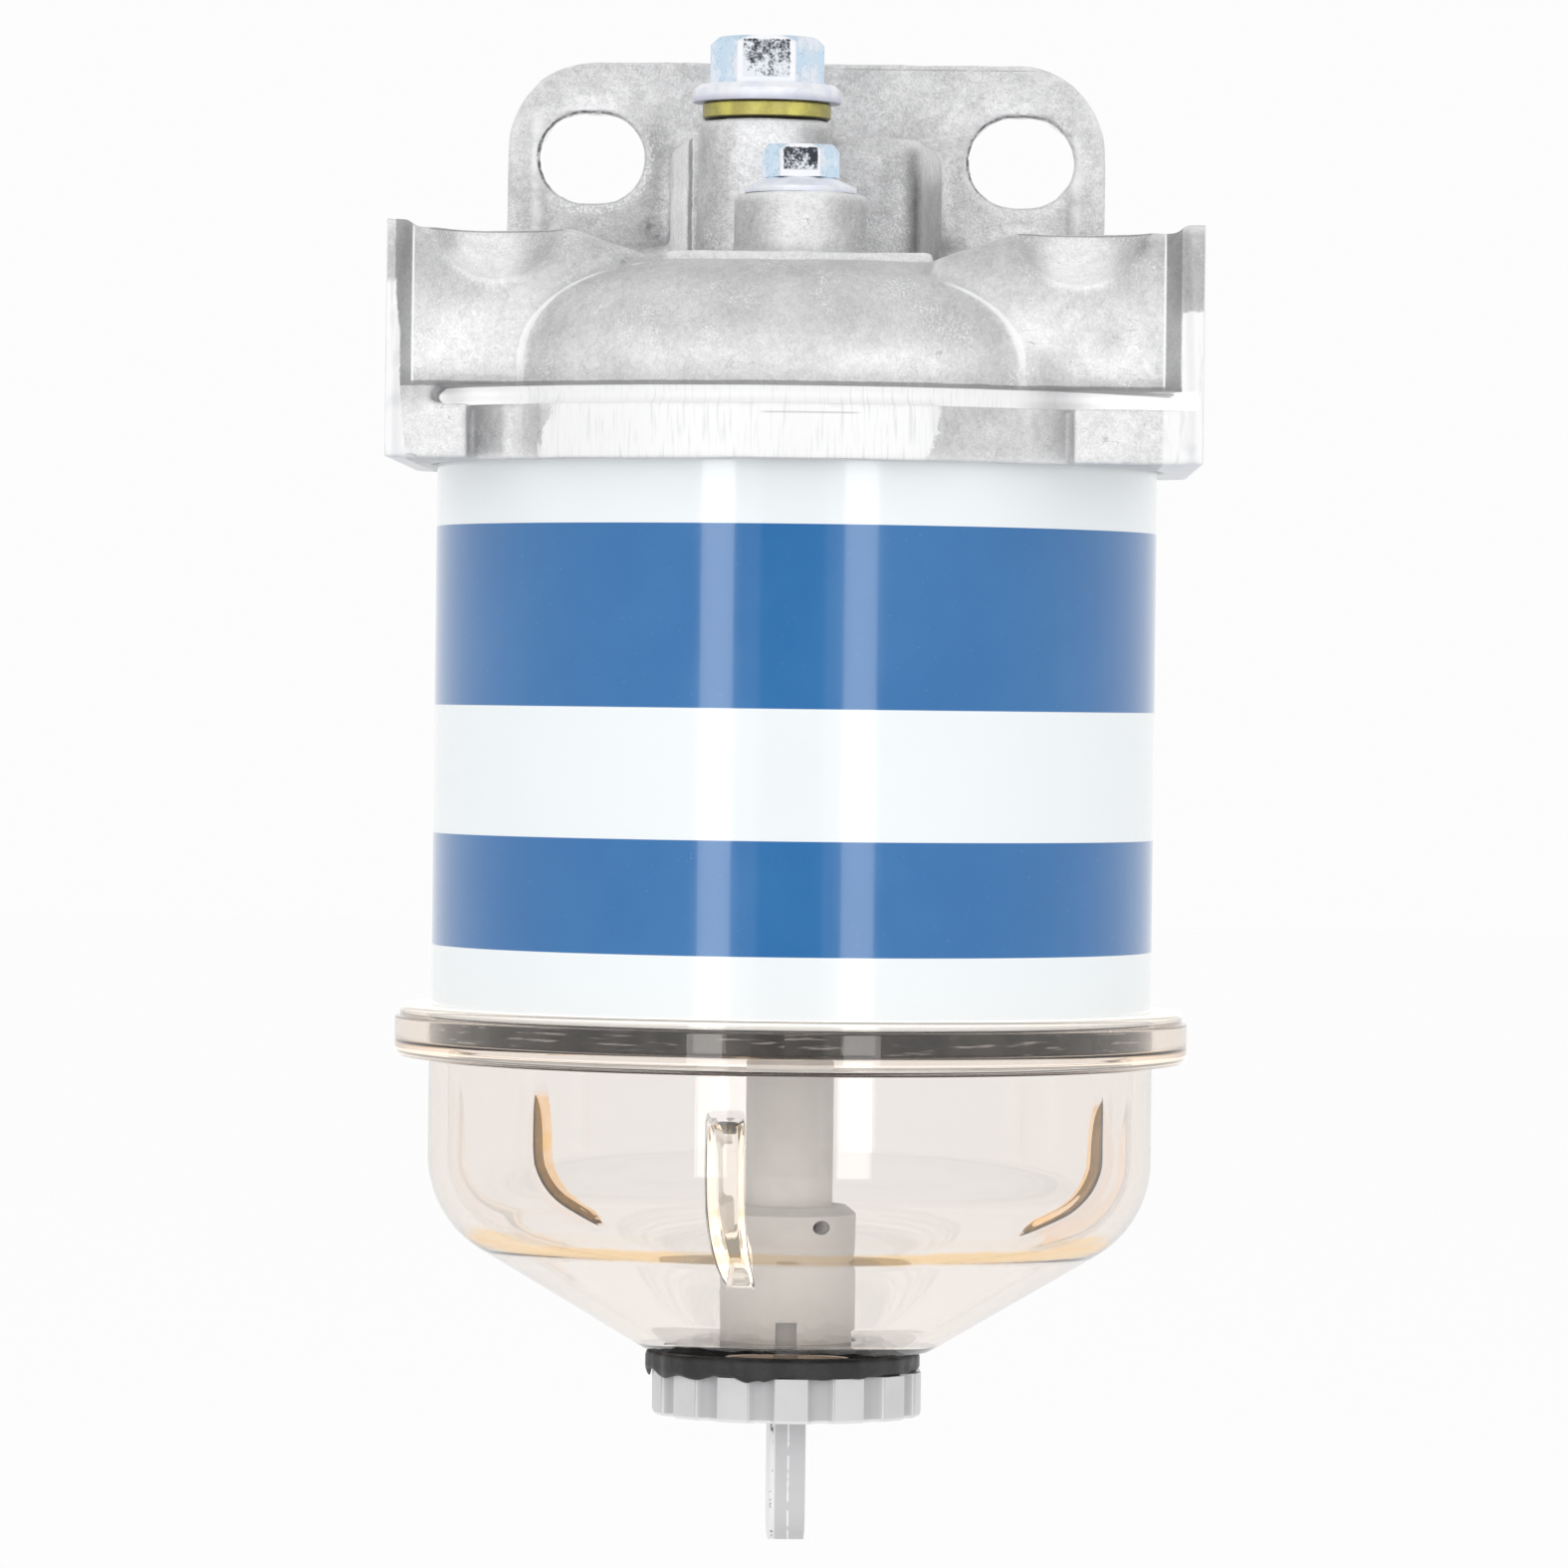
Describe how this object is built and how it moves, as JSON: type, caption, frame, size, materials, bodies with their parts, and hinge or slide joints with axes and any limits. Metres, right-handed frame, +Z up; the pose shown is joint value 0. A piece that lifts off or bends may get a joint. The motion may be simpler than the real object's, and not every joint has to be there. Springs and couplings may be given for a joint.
{
  "type": "fuel water separator",
  "caption": "Wall-mounted diesel fuel filter with cast head, striped steel can, clear water bowl and drain wheel.",
  "frame": {"origin": "centre of the pattern of two mounting slots, on the flange's wall face", "axes": "+Z up, +Y into the wall along the mounting bolts, +X to the right as seen from the front"},
  "size_m": [0.0946, 0.0983, 0.1805],
  "materials": {
    "cast_aluminium": "as-cast, with machined faces",
    "zinc_steel": "bright zinc plate with a blue cast",
    "yellow_washer": "yellow passivated",
    "painted_can": "gloss white with blue bands",
    "tin_plate": "plain",
    "filter_paper": "matt",
    "black_rubber": "matt",
    "clear_bowl": "clear with an amber cast",
    "grey_column": "satin",
    "grey_wheel": "satin",
    "brass_insert": "turned"
  },
  "bodies": {
    "head": {"filter_head": "cast_aluminium", "centre_bolt": "zinc_steel", "centre_bolt_seal": "black_rubber", "head_can_seal": "black_rubber", "head_centre_seal": "black_rubber", "can_shell": "painted_can", "can_top_plate": "tin_plate", "can_bottom_plate": "tin_plate", "can_centre_tube": "tin_plate", "paper_element": "filter_paper", "can_bowl_seal": "black_rubber", "bowl": "clear_bowl", "bowl_column": "grey_column", "column_insert": "brass_insert", "column_foot_seal": "black_rubber"},
    "vent_washer": {"vent_plug_washer": "yellow_washer"},
    "vent_screw": {"vent_plug": "zinc_steel"},
    "drain_ring": {"drain_seal": "black_rubber"},
    "drain_screw": {"drain_wheel": "grey_wheel", "drain_stem_seal": "black_rubber"}
  },
  "joints": [
    {"name": "vent_turn", "type": "hinge", "parent": "vent_washer", "child": "vent_screw", "pos_m": [-0.0045, -0.033, 0], "axis": [0, 0, 1], "range_deg": [0, 1080]},
    {"name": "vent_lift", "type": "slide", "parent": "head", "child": "vent_washer", "axis": [0, 0, 1], "range_m": [0, 0.00375]},
    {"name": "drain_turn", "type": "hinge", "parent": "drain_ring", "child": "drain_screw", "pos_m": [0, -0.051, -0.147], "axis": [0, 0, -1], "range_deg": [0, 720]},
    {"name": "drain_drop", "type": "slide", "parent": "head", "child": "drain_ring", "axis": [0, 0, -1], "range_m": [0, 0.003]}
  ],
  "couplings": [
    {"joint": "vent_lift", "follows": "vent_turn", "m_per_rad": 0.00019894},
    {"joint": "drain_drop", "follows": "drain_turn", "m_per_rad": 0.00023873}
  ]
}
